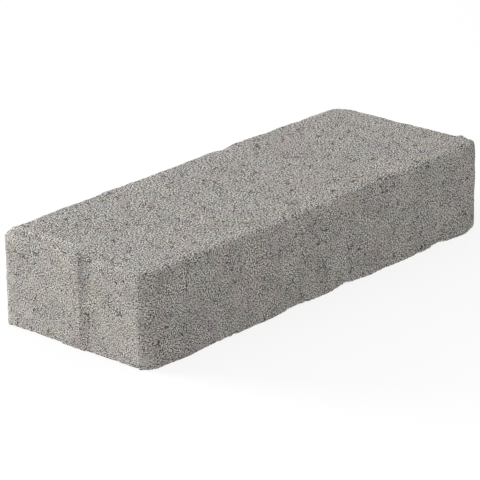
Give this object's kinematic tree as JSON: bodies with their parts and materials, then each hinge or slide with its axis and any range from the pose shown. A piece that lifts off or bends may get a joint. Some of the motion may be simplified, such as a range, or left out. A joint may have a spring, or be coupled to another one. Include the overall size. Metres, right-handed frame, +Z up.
{
  "type": "concrete paving stone",
  "caption": "Long rectangular cast concrete paving stone with a rounded wearing edge, rounded upright corners and a spacer lug up the middle of one end face.",
  "frame": {"origin": "middle of the bed face between the two ends and the two long sides, on the surface that the stone lies on", "axes": "+X along the stone, away from the end with the spacer lug, +Y across it towards one long side, +Z up through the wearing face"},
  "size_m": [0.318, 0.12, 0.06],
  "materials": {
    "concrete": "dry-cast grey concrete, matt and sandy"
  },
  "bodies": {
    "root": {"paving_stone": "concrete"}
  },
  "joints": []
}
